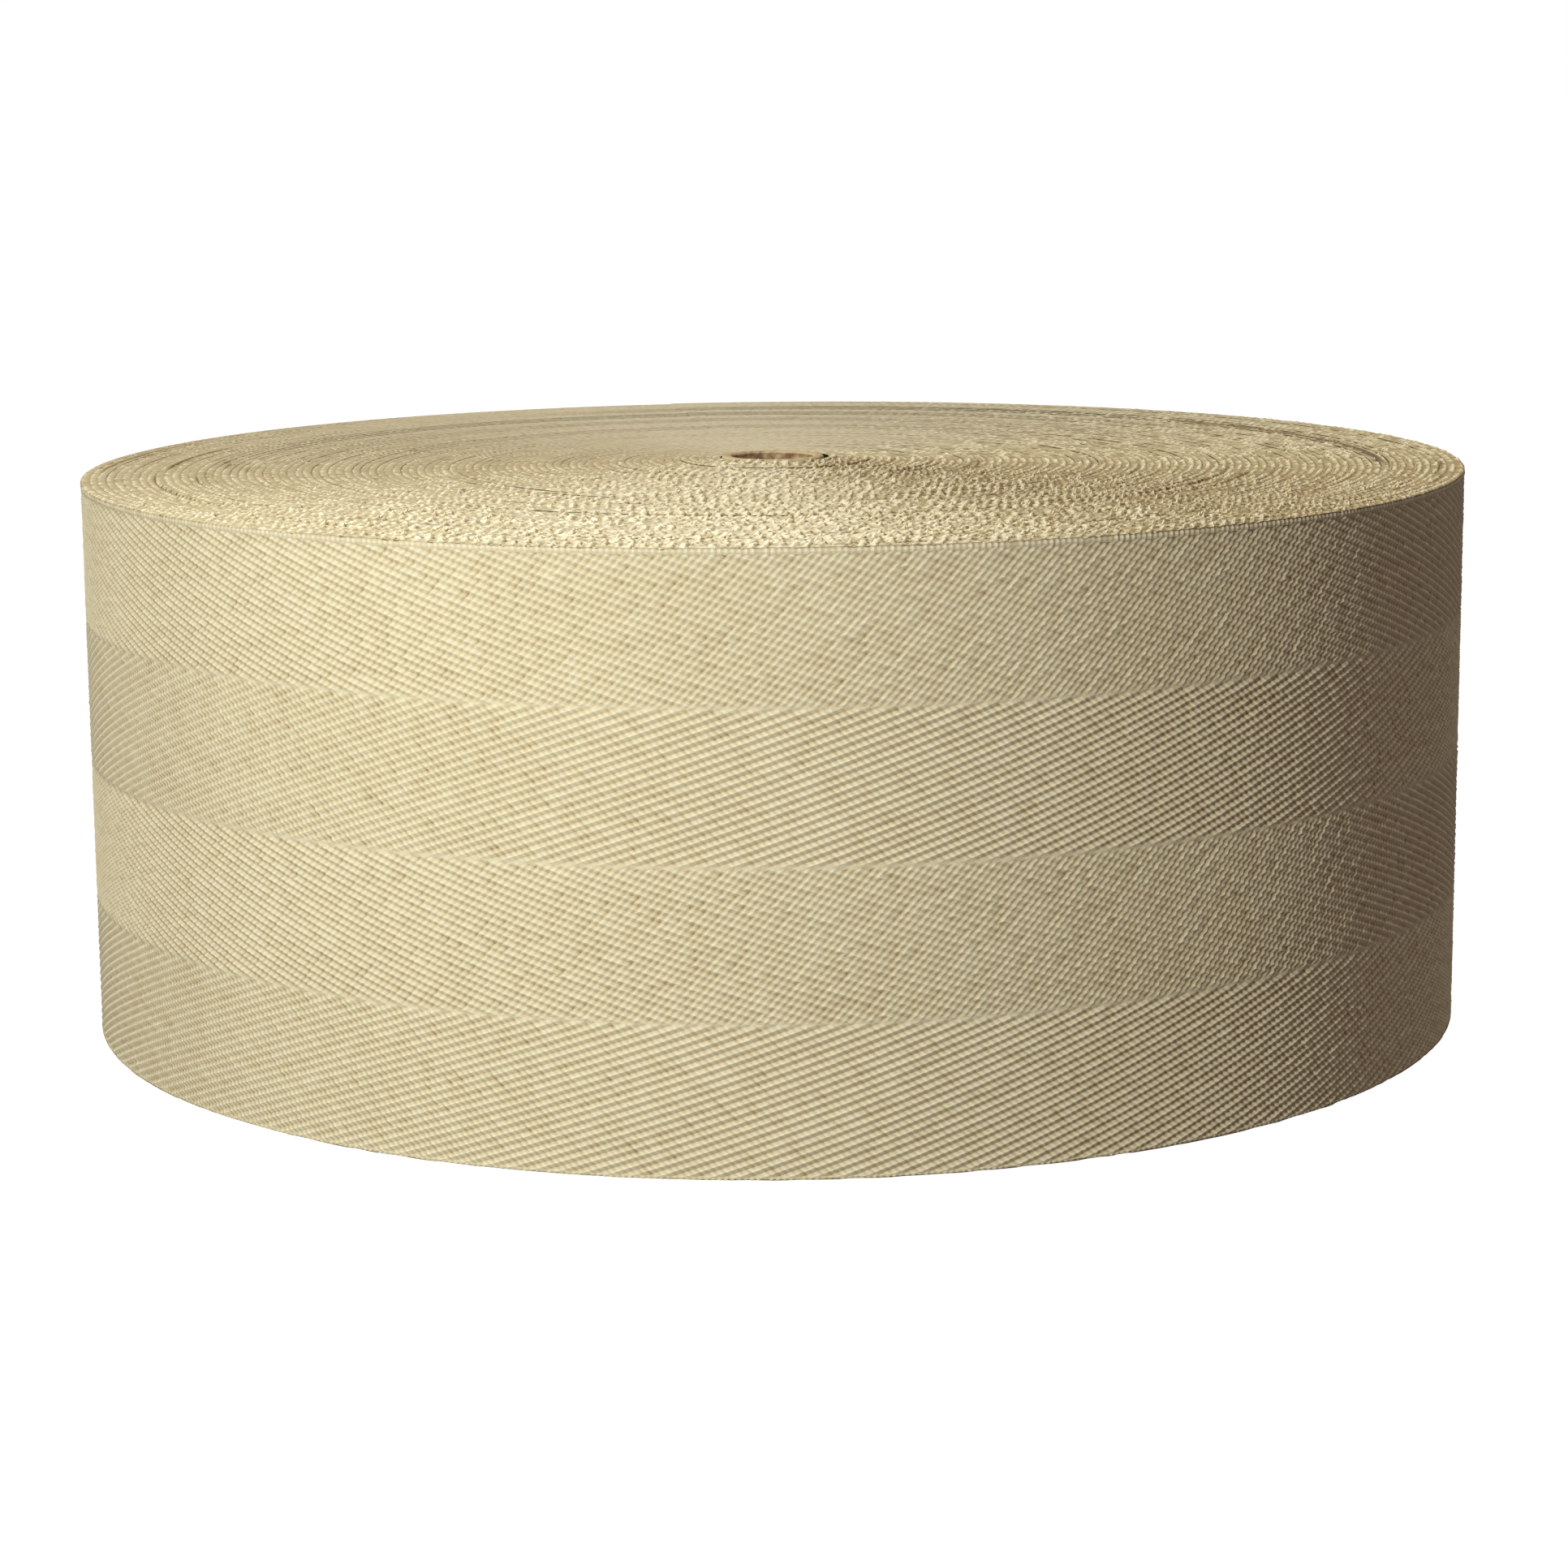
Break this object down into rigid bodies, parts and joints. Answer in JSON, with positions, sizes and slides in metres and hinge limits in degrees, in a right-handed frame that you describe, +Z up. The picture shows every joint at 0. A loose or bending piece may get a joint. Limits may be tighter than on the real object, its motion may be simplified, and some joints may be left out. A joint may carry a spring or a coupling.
{
  "type": "roll of carpet binding tape",
  "caption": "Roll of herringbone-woven binding tape wound flat round a slim paper tube, standing on its flat side.",
  "frame": {"origin": "centre of the roll's bounding box on the flat side it stands on, which is on the tube's axis", "axes": "+Z up along the tube's axis; -Y faces the viewer of the picture, +X is to that viewer's right"},
  "size_m": [0.1254, 0.1258, 0.0508],
  "materials": {
    "tape": "undyed herringbone weave, matt with a faint thread sheen",
    "tube_board": "plain wound paper board, matt"
  },
  "bodies": {
    "root": {"wound_tape": "tape", "core_tube": "tube_board"}
  },
  "joints": []
}
